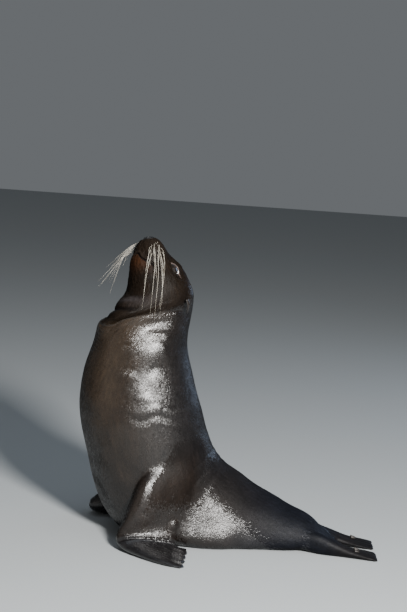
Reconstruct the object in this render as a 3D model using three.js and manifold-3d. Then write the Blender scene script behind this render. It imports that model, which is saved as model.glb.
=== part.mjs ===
// A sea lion sitting upright on a level floor with its muzzle raised, at life size.
// Millimetres. +Z is up, -X is the way the chest faces, -Y is the animal's left side,
// and the floor is z = 0. The origin is on the floor, in the flat patch under the belly.
import * as THREE from 'three';
import { mergeVertices } from 'three/addons/utils/BufferGeometryUtils.js';
import Module from 'manifold-3d';

const wasm = await Module();
wasm.setup();

// ---------- driving sizes ----------
const GAP = 0.3; // clearance between neighbouring pieces
const NOSE_TIP = new THREE.Vector3(-166, -22, 836);
const HEAD_PITCH = 75; // degrees that the muzzle points above the level, chest side
const HEAD_TURN = 42; // degrees that the chin is turned towards the animal's left
const BODY_RINGS = 48;
const BODY_SIDES = 26;
const EYE_RADIUS = 19;
const EYE_DEPTH = 20.5; // the eye's middle lies this far under the lids
const WRIST_HEIGHT = 37; // the forelimb is parted from its flipper at this height

const radians = THREE.MathUtils.degToRad;
const vec = (x, y, z) => new THREE.Vector3(x, y, z);

// ---------- smooth tables ----------
// A natural cubic spline through (places, values), as a function of the place.
function spline(places, values) {
  const n = places.length;
  const gap = places.slice(1).map((p, i) => p - places[i]);
  const bend = new Array(n).fill(0);
  const pivot = new Array(n).fill(1);
  for (let i = 1; i < n - 1; i++) {
    const share = i > 1 ? gap[i - 1] / pivot[i - 1] : 0;
    pivot[i] = 2 * (gap[i - 1] + gap[i]) - share * gap[i - 1];
    const turn = (values[i + 1] - values[i]) / gap[i] - (values[i] - values[i - 1]) / gap[i - 1];
    bend[i] = 6 * turn - share * bend[i - 1];
  }
  for (let i = n - 2; i > 0; i--) bend[i] = (bend[i] - gap[i] * bend[i + 1]) / pivot[i];
  return (place) => {
    let i = 0;
    while (i < n - 2 && place > places[i + 1]) i++;
    const a = (places[i + 1] - place) / gap[i];
    const b = 1 - a;
    const cubic = (a ** 3 - a) * bend[i] + (b ** 3 - b) * bend[i + 1];
    return a * values[i] + b * values[i + 1] + (cubic * gap[i] ** 2) / 6;
  };
}

const bell = (distance, radius) => Math.exp(-((distance / radius) ** 2));

// ---------- solids ----------
// A closed body from rings of points: ring(u, angle) for u from 0 to 1, with strip caps at both ends.
function loft(ring, rings, sides) {
  const position = [];
  for (let i = 0; i <= rings; i++) {
    for (let k = 0; k < sides; k++) {
      position.push(...ring(i / rings, (2 * Math.PI * k) / sides).toArray());
    }
  }
  const index = [];
  const quad = (a, b, c, d) => index.push(a, b, c, a, c, d);
  for (let i = 0; i < rings; i++) {
    for (let k = 0; k < sides; k++) {
      const next = (k + 1) % sides;
      quad(i * sides + k, i * sides + next, (i + 1) * sides + next, (i + 1) * sides + k);
    }
  }
  const last = rings * sides;
  for (let k = 0; k < sides / 2; k++) {
    const far = (sides - k) % sides;
    const near = sides - k - 1;
    quad(k, far, near, k + 1);
    quad(last + k, last + k + 1, last + near, last + far);
  }
  const made = new THREE.BufferGeometry();
  made.setAttribute('position', new THREE.Float32BufferAttribute(position, 3));
  made.setIndex(index);
  return made;
}

function signedVolume(geometry) {
  const at = geometry.attributes.position;
  const corner = (i) => vec(at.getX(i), at.getY(i), at.getZ(i));
  let sum = 0;
  for (let i = 0; i < geometry.index.count; i += 3) {
    const [a, b, c] = [0, 1, 2].map((k) => corner(geometry.index.getX(i + k)));
    sum += a.dot(b.cross(c)) / 6;
  }
  return sum;
}

function solid(geometry) {
  const bare = geometry.index ? geometry.clone() : mergeVertices(geometry);
  bare.deleteAttribute('normal');
  bare.deleteAttribute('uv');
  const merged = mergeVertices(bare, 1e-4);
  const corners = new Uint32Array(merged.index.array);
  if (signedVolume(merged) < 0) {
    for (let i = 0; i < corners.length; i += 3) [corners[i], corners[i + 1]] = [corners[i + 1], corners[i]];
  }
  const vertProperties = new Float32Array(merged.attributes.position.array);
  return new wasm.Manifold(new wasm.Mesh({ numProp: 3, vertProperties, triVerts: corners }));
}

function geometryOf(body) {
  const mesh = body.getMesh();
  const made = new THREE.BufferGeometry();
  made.setAttribute('position', new THREE.BufferAttribute(mesh.vertProperties, 3));
  made.setIndex(new THREE.BufferAttribute(mesh.triVerts, 1));
  made.computeVertexNormals();
  return made;
}

// Everything on the side of a plane that its normal points to, as one large block.
function beyond(point, normal, shift = 0) {
  const size = 3000;
  const block = new THREE.BoxGeometry(size, size, size).translate(0, 0, size / 2);
  const turn = new THREE.Quaternion().setFromUnitVectors(vec(0, 0, 1), normal.clone().normalize());
  const start = point.clone().addScaledVector(normal.clone().normalize(), shift);
  return solid(block.applyQuaternion(turn).translate(start.x, start.y, start.z));
}

// ---------- directions ----------
// Which way a section faces: onward to the nose, out of the left side, and out of the back.
// pitch is how far onward points above the level; twist turns the back away from the left side.
function facing(pitch, twist) {
  const onward = vec(-Math.cos(radians(pitch)), 0, Math.sin(radians(pitch)));
  const spine = vec(Math.sin(radians(pitch)), 0, Math.cos(radians(pitch)));
  const side = vec(0, -1, 0);
  const cos = Math.cos(radians(twist));
  const sin = Math.sin(radians(twist));
  return {
    onward,
    left: side.clone().multiplyScalar(cos).addScaledVector(spine, sin),
    back: spine.clone().multiplyScalar(cos).addScaledVector(side, -sin),
  };
}
const skull = facing(HEAD_PITCH, HEAD_TURN);
// A place in the head: so far behind the nose tip, out to the left, and up towards the crown.
const inHead = (behind, aside, up) =>
  NOSE_TIP.clone()
    .addScaledVector(skull.onward, -behind)
    .addScaledVector(skull.left, aside)
    .addScaledVector(skull.back, up);

// ---------- trunk, neck and head as one smooth body ----------
// Each station gives the middle of the body (x, y, z), which way it faces, its half width,
// its half depth towards the back and towards the belly, and how far its flesh sags: the
// body is widest that far below its middle.
const TRUNK = [
  { at: 'tail tip', x: 450, y: -62, z: 9, pitch: 2, wide: 8, back: 6, belly: 11 },
  { at: 'tail', x: 415, y: -59, z: 16, pitch: 3, wide: 18, back: 13, belly: 18 },
  { at: 'tail base', x: 380, y: -52, z: 28, pitch: 5, wide: 38, back: 24, belly: 33, sag: 4 },
  { at: 'rump end', x: 345, y: -42, z: 38, pitch: 8, wide: 68, back: 42, belly: 46, sag: 10 },
  { at: 'rump', x: 289, y: -26, z: 47, pitch: 10, wide: 95, back: 56, belly: 62, sag: 22 },
  { at: 'hips', x: 215, y: -8, z: 58, pitch: 13, wide: 117, back: 75, belly: 84, sag: 36 },
  { at: 'loins', x: 154, y: -2, z: 68, pitch: 17, wide: 133, back: 92, belly: 104, sag: 48 },
  { at: 'flanks', x: 97, y: 0, z: 78, pitch: 22, wide: 145, back: 113, belly: 124, sag: 60 },
  { at: 'navel', x: 36, y: 0, z: 96, pitch: 28, wide: 153, back: 128, belly: 140, sag: 68 },
  { at: 'lower belly', x: -44, y: 0, z: 118, pitch: 42, wide: 157, back: 165, belly: 168, sag: 48 },
  { at: 'belly', x: -80, y: 0, z: 141, pitch: 50, wide: 160, back: 178, belly: 174, sag: 26 },
  { at: 'upper belly', x: -110, y: 0, z: 192, pitch: 60, wide: 163, back: 178, belly: 175, sag: 8 },
  { at: 'ribs', x: -134, y: 0, z: 261, pitch: 74, wide: 164, back: 173, belly: 169 },
  { at: 'chest', x: -151, y: 0, z: 328, pitch: 84, wide: 162, back: 172, belly: 172 },
  { at: 'shoulders', x: -164, y: 0, z: 404, pitch: 88, wide: 153, back: 164, belly: 164 },
  { at: 'neck base', x: -168, y: -2, z: 480, pitch: 91, wide: 134, back: 146, belly: 146, twist: 6 },
  { at: 'neck', x: -166, y: -6, z: 550, pitch: 91, wide: 115, back: 130, belly: 129, twist: 14 },
  { at: 'throat', x: -150, y: -7, z: 606, pitch: 86, wide: 95, back: 124, belly: 141, twist: 26 },
];
// The head's stations are measured from the nose tip along the head's own axis.
const HEAD = [
  { behind: 174, up: -2, wide: 91, back: 101, belly: 132 },
  { behind: 148, up: 0, wide: 87, back: 94, belly: 101 },
  { behind: 125, up: 0, wide: 80, back: 88, belly: 86 },
  { behind: 100, up: 0, wide: 70, back: 78, belly: 78 },
  { behind: 80, up: 0, wide: 60, back: 66, belly: 73 },
  { behind: 60, up: 0, wide: 51, back: 52, belly: 67 },
  { behind: 44, up: 0, wide: 47, back: 43, belly: 57 },
  { behind: 28, up: 0, wide: 41, back: 36, belly: 39 },
  { behind: 14, up: 0, wide: 31, back: 28, belly: 29 },
  { behind: 5, up: 0, wide: 19, back: 18, belly: 18 },
  { behind: 0, up: 0, wide: 6, back: 6, belly: 6 },
];
const stations = [
  ...TRUNK.map((s) => ({ ...s, middle: vec(s.x, s.y, s.z), twist: s.twist ?? 0 })),
  ...HEAD.map((s) => ({ ...s, middle: inHead(s.behind, 0, s.up), pitch: HEAD_PITCH, twist: HEAD_TURN })),
];
const along = stations.map(() => 0);
for (let i = 1; i < stations.length; i++) {
  along[i] = along[i - 1] + stations[i].middle.distanceTo(stations[i - 1].middle);
}
const BODY_LENGTH = along[along.length - 1];
const HEAD_START = along[TRUNK.length];
const table = (read) => spline(along, stations.map(read));
const body = {
  x: table((s) => s.middle.x),
  y: table((s) => s.middle.y),
  z: table((s) => s.middle.z),
  pitch: table((s) => s.pitch),
  twist: table((s) => s.twist),
  wide: table((s) => s.wide),
  back: table((s) => s.back),
  belly: table((s) => s.belly),
  sag: table((s) => s.sag ?? 0),
};
const middleAt = (s) => vec(body.x(s), body.y(s), body.z(s));
const placeOf = (name) => along[TRUNK.findIndex((s) => s.at === name)];

// Rounded swellings and hollows on both sides of the head: place, radius and height.
const SWELLINGS = [
  { on: 'whisker pad', behind: 30, aside: 38, up: -12, radius: 22, height: 7 },
  { on: 'brow', behind: 92, aside: 48, up: 50, radius: 18, height: 4 },
  { on: 'hollow before the eye', behind: 70, aside: 48, up: 24, radius: 19, height: -4 },
  { on: 'lids', behind: 100, aside: 64, up: 26, radius: 18, height: 4 },
  { on: 'lip under the pad', behind: 38, aside: 28, up: -42, radius: 14, height: -4 },
];
function swelling(point) {
  let height = 0;
  for (const s of SWELLINGS) {
    for (const side of [1, -1]) {
      height += s.height * bell(point.distanceTo(inHead(s.behind, side * s.aside, s.up)), s.radius);
    }
  }
  return height;
}

// Half the body's width so far above its middle.
function breadth(s, height) {
  const rise = height + body.sag(s);
  const reach = rise > 0 ? body.back(s) + body.sag(s) : body.belly(s) - body.sag(s);
  return body.wide(s) * Math.sqrt(Math.max(0, 1 - (rise / reach) ** 2));
}
// A point of the body's surface, so far along from the tail tip. grow moves it outwards.
function bodyPoint(s, angle, grow = 0) {
  const { left, back } = facing(body.pitch(s), body.twist(s));
  const up = Math.sin(angle);
  const across = Math.cos(angle);
  const height = up * (up > 0 ? body.back(s) : body.belly(s));
  const offset = left.clone().multiplyScalar(Math.sign(across) * breadth(s, height) + grow * across);
  offset.addScaledVector(back, height + grow * up);
  const point = middleAt(s).add(offset);
  if (s > HEAD_START) point.addScaledVector(offset.normalize(), swelling(point));
  return point;
}
// Rings lie closer together towards the nose.
const ringPlace = (t) => BODY_LENGTH * (1 - (1 - t) ** 1.35);
const floor = beyond(vec(0, 0, 0), vec(0, 0, 1));
const wholeBody = (grow) => {
  const shape = loft((t, angle) => bodyPoint(ringPlace(t), angle, grow), BODY_RINGS, BODY_SIDES);
  return solid(shape).intersect(floor);
};
const flesh = wholeBody(0);
const grown = wholeBody(GAP);

// ---------- limbs ----------
// A flat limb from stations that give its leading edge, trailing edge and thickness.
// The far end is scalloped by five toes; the limb is thickest near its leading edge.
function limb(rows, toeReach, mirrored, place) {
  const lead = rows.map((r) => place(vec(...r.lead)));
  const trail = rows.map((r) => place(vec(...r.trail)));
  const centre = lead.map((p, i) => p.clone().add(trail[i]).multiplyScalar(0.5));
  const reach = centre.map(() => 0);
  for (let i = 1; i < reach.length; i++) reach[i] = reach[i - 1] + centre[i].distanceTo(centre[i - 1]);
  const total = reach[reach.length - 1];
  const track = (points) => {
    const axes = ['x', 'y', 'z'].map((axis) => spline(reach, points.map((p) => p[axis])));
    return (r) => vec(axes[0](r), axes[1](r), axes[2](r));
  };
  const leadAt = track(lead);
  const trailAt = track(trail);
  const thickAt = spline(reach, rows.map((r) => r.thick));
  const centreAt = (r) => leadAt(r).add(trailAt(r)).multiplyScalar(0.5);
  return (u, angle) => {
    const r = u * total;
    const onward = centreAt(Math.min(r + 4, total)).sub(centreAt(Math.max(r - 4, 0))).normalize();
    const half = trailAt(r).sub(leadAt(r)).multiplyScalar(0.5);
    const top = onward.clone().cross(half).normalize().multiplyScalar(mirrored ? -1 : 1);
    const across = Math.cos(angle);
    const height = 0.5 * thickAt(r) * Math.sin(angle) * (1 - 0.3 * across);
    const scallop = toeReach * Math.max(0, (u - 0.8) / 0.2) * Math.sin(2.5 * Math.PI * (across + 1)) ** 2;
    const point = centreAt(r).addScaledVector(half, across).addScaledVector(top, height);
    return { point: point.addScaledVector(onward, scallop), onward, top };
  };
}
const limbSolid = (surface, rings, sides) =>
  solid(loft((u, angle) => surface(u, angle).point, rings, sides)).intersect(floor).subtract(grown);

// The left forelimb, from inside the shoulder down to the wrist and out along the floor.
const FORELIMB = [
  { lead: [-96, -92, 268], trail: [0, -84, 262], thick: 40 },
  { lead: [-114, -130, 232], trail: [4, -112, 226], thick: 50 },
  { lead: [-140, -158, 190], trail: [8, -118, 184], thick: 66 },
  { lead: [-155, -172, 148], trail: [6, -122, 140], thick: 74 },
  { lead: [-170, -180, 104], trail: [-2, -130, 98], thick: 72 },
  { lead: [-184, -184, 62], trail: [-18, -148, 58], thick: 58 },
  { lead: [-194, -190, 32], trail: [-30, -168, 30], thick: 52 },
  { lead: [-183, -210, 19], trail: [-26, -176, 17], thick: 42 },
  { lead: [-150, -243, 14], trail: [-18, -172, 12], thick: 34 },
  { lead: [-98, -284, 10], trail: [-9, -160, 8], thick: 25 },
  { lead: [-48, -313, 7], trail: [-4, -150, 6], thick: 17 },
  { lead: [-12, -323, 4], trail: [-2, -143, 3], thick: 9 },
];
// The right hand is set further forward and is turned further out than the left one.
const RIGHT_HAND = { forward: 98, inward: 42, turn: 25 };
const WRIST = vec(-112, 170, 0);
function rightForelimb(point) {
  const mirrored = vec(point.x, -point.y, point.z);
  const share = THREE.MathUtils.smoothstep(230 - point.z, 55, 205);
  const arm = mirrored.clone().sub(WRIST);
  arm.applyAxisAngle(vec(0, 0, 1), radians(RIGHT_HAND.turn) * share);
  return arm.add(WRIST).add(vec(-RIGHT_HAND.forward * share, -RIGHT_HAND.inward * share, 0));
}
const LIMB_SIDES = 20;
const FORE_RINGS = 18;
const FORE_TOES = 9; // how far the five toes stand out of the flipper's edge
const foreLeft = limbSolid(limb(FORELIMB, FORE_TOES, false, (p) => p), FORE_RINGS, LIMB_SIDES);
const foreRight = limbSolid(limb(FORELIMB, FORE_TOES, true, rightForelimb), FORE_RINGS, LIMB_SIDES);

// A hind limb, measured outwards from the tail's line, lying back along the floor.
const TAIL_LINE = -58;
const HIND_RINGS = 13;
const HIND_TOES = 10;
const HINDLIMB = [
  { x: 318, outer: 60, inner: 6, z: 36, thick: 52 },
  { x: 350, outer: 66, inner: 10, z: 31, thick: 58 },
  { x: 384, outer: 71, inner: 16, z: 24, thick: 50 },
  { x: 416, outer: 75, inner: 22, z: 18, thick: 37 },
  { x: 450, outer: 80, inner: 18, z: 12, thick: 26 },
  { x: 486, outer: 87, inner: 12, z: 8, thick: 18 },
  { x: 518, outer: 93, inner: 9, z: 4, thick: 9 },
];
const hindRows = HINDLIMB.map((r) => ({
  lead: [r.x, -r.outer, r.z],
  trail: [r.x, -r.inner, r.z],
  thick: r.thick,
}));
const hindPlace = (side) => (p) => vec(p.x, TAIL_LINE + side * p.y, p.z);
const hindSurface = (side) => limb(hindRows, HIND_TOES, side < 0, hindPlace(side));
const hindSurfaces = { left: hindSurface(1), right: hindSurface(-1) };

// ---------- parts ----------
const group = new THREE.Group();
const material = (colour, roughness) =>
  new THREE.MeshStandardMaterial({ color: colour, roughness, metalness: 0 });
const wetFur = material(0x3a2a1e, 0.4);
const chestFur = material(0x4a3626, 0.45);
const flipperSkin = material(0x23201f, 0.35);
const noseSkin = material(0x1c1a1a, 0.3);
const eyeGloss = material(0x120c08, 0.1);
const nail = material(0x3a322b, 0.4);
function add(name, shape, finish) {
  const mesh = new THREE.Mesh(geometryOf(shape), finish);
  mesh.name = name;
  group.add(mesh);
}

// The whole body is parted by thin plane cuts across it.
function cutAt(name) {
  const s = placeOf(name);
  return { point: middleAt(s), onward: facing(body.pitch(s), body.twist(s)).onward };
}
const ahead = (cut) => beyond(cut.point, cut.onward, GAP / 2);
const behindOf = (cut) => beyond(cut.point, cut.onward.clone().negate(), GAP / 2);
const cuts = ['tail base', 'hips', 'belly', 'neck base'].map(cutAt);
cuts.push({ point: inHead(178, 0, 0), onward: skull.onward });
add('tail', flesh.intersect(behindOf(cuts[0])), wetFur);
add('hindquarters', flesh.intersect(ahead(cuts[0])).intersect(behindOf(cuts[1])), wetFur);
add('abdomen', flesh.intersect(ahead(cuts[1])).intersect(behindOf(cuts[2])), wetFur);
add('chest', flesh.intersect(ahead(cuts[2])).intersect(behindOf(cuts[3])), chestFur);
add('neck', flesh.intersect(ahead(cuts[3])).intersect(behindOf(cuts[4])), wetFur);

// Head: sockets for the eyes with an opening between the lids, a nose pad, and a lower jaw.
const ball = (radius) => new THREE.SphereGeometry(radius, 12, 8);
const globe = (radius, at) => solid(ball(radius).translate(at.x, at.y, at.z));
function oval(onward, aside, up, at) {
  const turn = new THREE.Matrix4().makeBasis(skull.onward, skull.left, skull.back);
  return solid(ball(1).scale(onward, aside, up).applyMatrix4(turn).translate(at.x, at.y, at.z));
}
const EYE_BEHIND = 100;
const LID_SLIT = { onward: 17, aside: 11, up: 7.5 };
const NOSE_PAD = { onward: 12, aside: 19, up: 15 };
function eyePlace(side) {
  const skin = inHead(EYE_BEHIND, side * 67.5, 26);
  const inward = inHead(EYE_BEHIND + 6, side * 20, 4).sub(skin).normalize();
  return { skin, ball: skin.clone().addScaledVector(inward, EYE_DEPTH) };
}
let headPiece = flesh.intersect(ahead(cuts[4]));
for (const side of [1, -1]) {
  const eye = eyePlace(side);
  headPiece = headPiece.subtract(globe(EYE_RADIUS + GAP, eye.ball));
  headPiece = headPiece.subtract(oval(LID_SLIT.onward, LID_SLIT.aside, LID_SLIT.up, eye.skin));
  add(side > 0 ? 'eye_left' : 'eye_right', globe(EYE_RADIUS, eye.ball), eyeGloss);
}
const nosePad = (grow) =>
  oval(NOSE_PAD.onward + grow, NOSE_PAD.aside + grow, NOSE_PAD.up + grow, inHead(0, 0, 4));
add('nose', headPiece.intersect(nosePad(0)), noseSkin);
headPiece = headPiece.subtract(nosePad(GAP));
const mouthCorner = { point: inHead(94, 0, 0), onward: skull.onward };
const mouthSlope = skull.back.clone().multiplyScalar(-0.96).addScaledVector(skull.onward, -0.28);
const mouthLine = { point: inHead(46, 0, -44), onward: mouthSlope };
const jawBlock = ahead(mouthCorner).intersect(ahead(mouthLine));
const jawHollow = beyond(mouthCorner.point, skull.onward, -GAP / 2)
  .intersect(beyond(mouthLine.point, mouthLine.onward, -GAP / 2));
add('lower_jaw', headPiece.intersect(jawBlock), wetFur);
headPiece = headPiece.subtract(jawHollow);
const muzzleRoot = { point: inHead(72, 0, 0), onward: skull.onward };
add('snout', headPiece.intersect(ahead(muzzleRoot)), wetFur);
add('head', headPiece.intersect(behindOf(muzzleRoot)), wetFur);

// Ears: small rolled points that hang back along the neck.
const EAR = { length: 38, thick: 5.5, start: -10, rootAngle: radians(18), tipAngle: radians(27) };
for (const side of [1, -1]) {
  const onSide = (angle) => (side > 0 ? angle : Math.PI - angle);
  const start = HEAD_START + EAR.start;
  const root = bodyPoint(start, onSide(EAR.rootAngle));
  const tip = bodyPoint(start - EAR.length, onSide(EAR.tipAngle), 7);
  const line = tip.clone().sub(root).normalize();
  const outward = root.clone().sub(middleAt(start)).normalize();
  const broad = line.clone().cross(outward).normalize();
  const ear = loft(
    (u, turn) => {
      const size = EAR.thick * Math.sqrt(Math.max(0.02, 1 - (1.15 * u - 0.15) ** 2));
      return root.clone()
        .lerp(tip, u)
        .addScaledVector(outward, 4 * Math.sin(Math.PI * u) + 0.55 * size * Math.sin(turn))
        .addScaledVector(broad, 1.3 * size * Math.cos(turn));
    },
    8,
    10,
  );
  add(side > 0 ? 'ear_left' : 'ear_right', solid(ear).subtract(grown), flipperSkin);
}

// Forelimbs, parted at the wrist.
const wristCut = { point: vec(0, 0, WRIST_HEIGHT), onward: vec(0, 0, 1) };
for (const [side, shape] of [['left', foreLeft], ['right', foreRight]]) {
  add(`forearm_${side}`, shape.intersect(ahead(wristCut)), wetFur);
  add(`foreflipper_${side}`, shape.intersect(behindOf(wristCut)), flipperSkin);
}

// Hind limbs with a nail set into each of the three middle toes.
const NAIL = { length: 13, wide: 5, high: 3.5 };
for (const side of ['left', 'right']) {
  const surface = hindSurfaces[side];
  let shape = limbSolid(surface, 13, 20);
  for (const toe of [2, 3, 4]) {
    const { point, onward, top } = surface(0.74, Math.PI * (0.94 - 0.11 * toe));
    const aside = onward.clone().cross(top).normalize();
    const claw = (grow) =>
      solid(
        loft(
          (u, turn) =>
            point.clone()
              .addScaledVector(onward, NAIL.length * (u - 0.4) + grow * (2 * u - 1))
              .addScaledVector(aside, (0.5 * NAIL.wide * (1 - 0.75 * u) + grow) * Math.cos(turn))
              .addScaledVector(top, 0.6 + (NAIL.high * (1 - 0.8 * u) + grow) * Math.sin(turn)),
          3,
          8,
        ),
      );
    shape = shape.subtract(claw(GAP));
    add(`toe_nail_${side}_${toe}`, claw(0), nail);
  }
  add(`hindflipper_${side}`, shape, flipperSkin);
}

export default group;
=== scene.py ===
import math

import bmesh
import bpy
import numpy as np
from mathutils import Matrix, Vector
from mathutils.kdtree import KDTree


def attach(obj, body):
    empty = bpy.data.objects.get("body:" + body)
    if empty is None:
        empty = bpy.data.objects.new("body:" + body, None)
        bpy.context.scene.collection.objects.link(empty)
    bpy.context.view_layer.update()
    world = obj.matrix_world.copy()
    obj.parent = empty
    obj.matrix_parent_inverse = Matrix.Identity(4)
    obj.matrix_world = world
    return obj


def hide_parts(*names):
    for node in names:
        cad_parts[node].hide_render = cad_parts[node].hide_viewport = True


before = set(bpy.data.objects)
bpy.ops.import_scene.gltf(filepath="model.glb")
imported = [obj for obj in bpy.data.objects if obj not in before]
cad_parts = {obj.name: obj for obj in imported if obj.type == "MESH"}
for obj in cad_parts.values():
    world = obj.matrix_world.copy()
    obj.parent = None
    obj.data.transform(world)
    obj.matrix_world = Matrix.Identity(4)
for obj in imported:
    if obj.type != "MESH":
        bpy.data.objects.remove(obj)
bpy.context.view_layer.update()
MM = 0.001

# ---- the room
# The model stands on a pale matt floor that runs out of sight, in a plain studio. The camera
# stands four metres off at the animal's left side, a little above it and slightly tilted.
CAMERA_PLACE = (0.0, -4.0, 1.25)
CAMERA_DIP = 8.5
CAMERA_TILT = 4.0
LENS = 85.9
LENS_SHEET = 36.0
FLOOR_REACH = 12


def lamp(name, place, aim, size, watts, colour):
    light = bpy.data.lights.new(name, "AREA")
    light.shape = "RECTANGLE"
    light.size, light.size_y = size
    light.energy = watts
    light.color = colour
    holder = bpy.data.objects.new(name, light)
    bpy.context.collection.objects.link(holder)
    holder.location = place
    holder.rotation_euler = (Vector(aim) - Vector(place)).to_track_quat("-Z", "Y").to_euler()


def paint(name, settings=()):
    """A new material, its nodes and its main shader with the settings that are even all over."""
    made = bpy.data.materials.new(name)
    made.use_nodes = True
    shader = made.node_tree.nodes["Principled BSDF"]
    for socket, value in dict(settings).items():
        shader.inputs[socket].default_value = value
    return made, made.node_tree, shader


camera = bpy.data.objects.new("camera", bpy.data.cameras.new("camera"))
bpy.context.collection.objects.link(camera)
camera.data.lens = LENS
camera.data.sensor_width = LENS_SHEET
camera.matrix_world = (
    Matrix.Translation(CAMERA_PLACE)
    @ Matrix.Rotation(math.radians(90 - CAMERA_DIP), 4, "X")
    @ Matrix.Rotation(math.radians(CAMERA_TILT), 4, "Z")
)
bpy.context.scene.camera = camera

lamp("key", (1.2, -3.15, 2.05), (-0.1, 0.0, 0.45), (0.55, 0.55), 470, (1.0, 0.98, 0.95))
lamp("top", (-0.2, -0.4, 3.6), (0.0, 0.0, 0.4), (2.6, 2.6), 28, (0.86, 0.93, 1.0))
lamp("back_edge", (2.6, 2.0, 1.5), (0.0, 0.0, 0.45), (1.2, 1.6), 18, (0.55, 0.72, 1.0))
lamp("front_fill", (-3.2, -2.4, 1.2), (-0.1, 0.0, 0.4), (2.6, 2.6), 13, (1.0, 0.92, 0.84))

world = bpy.data.worlds.new("studio")
bpy.context.scene.world = world
world.use_nodes = True
room_light = world.node_tree.nodes["Background"]
room_light.inputs["Color"].default_value = (0.74, 0.79, 0.84, 1)
room_light.inputs["Strength"].default_value = 0.19

floor_form = bpy.data.meshes.new("floor")
floor_corners = [(x * FLOOR_REACH, y * FLOOR_REACH, 0) for x, y in ((-1, -1), (1, -1), (1, 1), (-1, 1))]
floor_form.from_pydata(floor_corners, [], [(0, 1, 2, 3)])
floor = bpy.data.objects.new("floor", floor_form)
bpy.context.collection.objects.link(floor)
floor_paint, _, _ = paint("pale_floor", {"Base Color": (0.32, 0.34, 0.35, 1), "Roughness": 0.85})
floor.data.materials.append(floor_paint)

# ---- trunk, neck and head
# Under the skin the animal is one smooth body of muscle and fat from the tail to the nose. It is
# shaped by stations along the spine: the middle of the body, which way it faces, and its size.
COAT_DEPTH = 1.2
NOSE_TIP = np.array([-166.0, -22.0, 836.0])
HEAD_PITCH = 75
HEAD_TURN = 42
TRUNK = np.array([
    # x, y, z, pitch, twist, half width, half depth to the back and to the belly, sag of the flesh
    (450, -62, 9, 2, 0, 8, 6, 11, 0),
    (415, -59, 16, 3, 0, 18, 13, 18, 0),
    (380, -52, 28, 5, 0, 38, 24, 33, 4),
    (345, -42, 38, 8, 0, 68, 42, 46, 10),
    (289, -26, 47, 10, 0, 95, 56, 62, 22),
    (215, -8, 58, 13, 0, 117, 75, 84, 36),
    (154, -2, 68, 17, 0, 133, 92, 104, 48),
    (97, 0, 78, 22, 0, 145, 113, 124, 60),
    (36, 0, 96, 28, 0, 153, 128, 140, 68),
    (-44, 0, 118, 42, 0, 157, 165, 168, 48),
    (-80, 0, 141, 50, 0, 160, 178, 174, 26),
    (-110, 0, 192, 60, 0, 163, 178, 175, 8),
    (-134, 0, 261, 74, 0, 164, 173, 169, 0),
    (-151, 0, 328, 84, 0, 162, 172, 172, 0),
    (-164, 0, 404, 88, 0, 153, 164, 164, 0),
    (-168, -2, 480, 91, 6, 134, 146, 146, 0),
    (-166, -6, 550, 91, 14, 115, 130, 129, 0),
    (-150, -7, 606, 86, 26, 95, 124, 141, 0),
], dtype=float)
HEAD = np.array([
    # behind the nose tip, shift to the crown, half width, half depth to the crown and to the jaw
    (174, -2, 91, 101, 132),
    (148, 0, 87, 94, 101),
    (125, 0, 80, 88, 86),
    (100, 0, 70, 78, 78),
    (80, 0, 60, 66, 73),
    (60, 0, 51, 52, 67),
    (44, 0, 47, 43, 57),
    (28, 0, 41, 36, 39),
    (14, 0, 31, 28, 29),
    (5, 0, 19, 18, 18),
    (0, 0, 6, 6, 6),
], dtype=float)


def facing(pitch, twist):
    """Onward to the nose, out of the left side, and out of the back."""
    p, t = np.radians(pitch), np.radians(twist)
    nothing = np.zeros_like(p)
    onward = np.stack([-np.cos(p), nothing, np.sin(p)], -1)
    spine = np.stack([np.sin(p), nothing, np.cos(p)], -1)
    side = np.stack([nothing, nothing - 1, nothing], -1)
    cos, sin = np.cos(t)[..., None], np.sin(t)[..., None]
    return onward, side * cos + spine * sin, spine * cos - side * sin


def unit(ways):
    return ways / np.linalg.norm(ways, axis=-1, keepdims=True)


SKULL_ONWARD, SKULL_LEFT, SKULL_CROWN = facing(np.float64(HEAD_PITCH), np.float64(HEAD_TURN))


def in_head(behind, aside, up):
    return NOSE_TIP - behind * SKULL_ONWARD + aside * SKULL_LEFT + up * SKULL_CROWN


def head_place(points):
    """How far behind the nose tip, out to the left, and up to the crown each point is."""
    away = points - NOSE_TIP
    return -away @ SKULL_ONWARD, away @ SKULL_LEFT, away @ SKULL_CROWN


def spline(places, values):
    """A natural cubic spline through rows of values, as a function of the place."""
    places, values = np.asarray(places, float), np.asarray(values, float)
    gap = np.diff(places)
    slope = np.diff(values, axis=0) / gap[:, None]
    bend = np.zeros_like(values)
    grid = np.diag(2 * (gap[:-1] + gap[1:])) + np.diag(gap[1:-1], 1) + np.diag(gap[1:-1], -1)
    bend[1:-1] = np.linalg.solve(grid, 6 * np.diff(slope, axis=0))

    def at(place):
        i = np.clip(np.searchsorted(places, place) - 1, 0, len(gap) - 1)
        a = ((places[i + 1] - place) / gap[i])[..., None]
        b = 1 - a
        curve = ((a**3 - a) * bend[i] + (b**3 - b) * bend[i + 1]) * gap[i][..., None] ** 2 / 6
        return a * values[i] + b * values[i + 1] + curve

    return at


head_middles = np.array([in_head(row[0], 0, row[1]) for row in HEAD])
head_rows = np.column_stack([
    head_middles,
    np.full(len(HEAD), HEAD_PITCH),
    np.full(len(HEAD), HEAD_TURN),
    HEAD[:, 2:],
    np.zeros(len(HEAD)),
])
STATIONS = np.vstack([TRUNK, head_rows])
STEPS = np.linalg.norm(np.diff(STATIONS[:, :3], axis=0), axis=1)
ALONG = np.concatenate([[0], np.cumsum(STEPS)])
BODY_LENGTH = ALONG[-1]
HEAD_START = ALONG[len(TRUNK)]
body_at = spline(ALONG, STATIONS)

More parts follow.
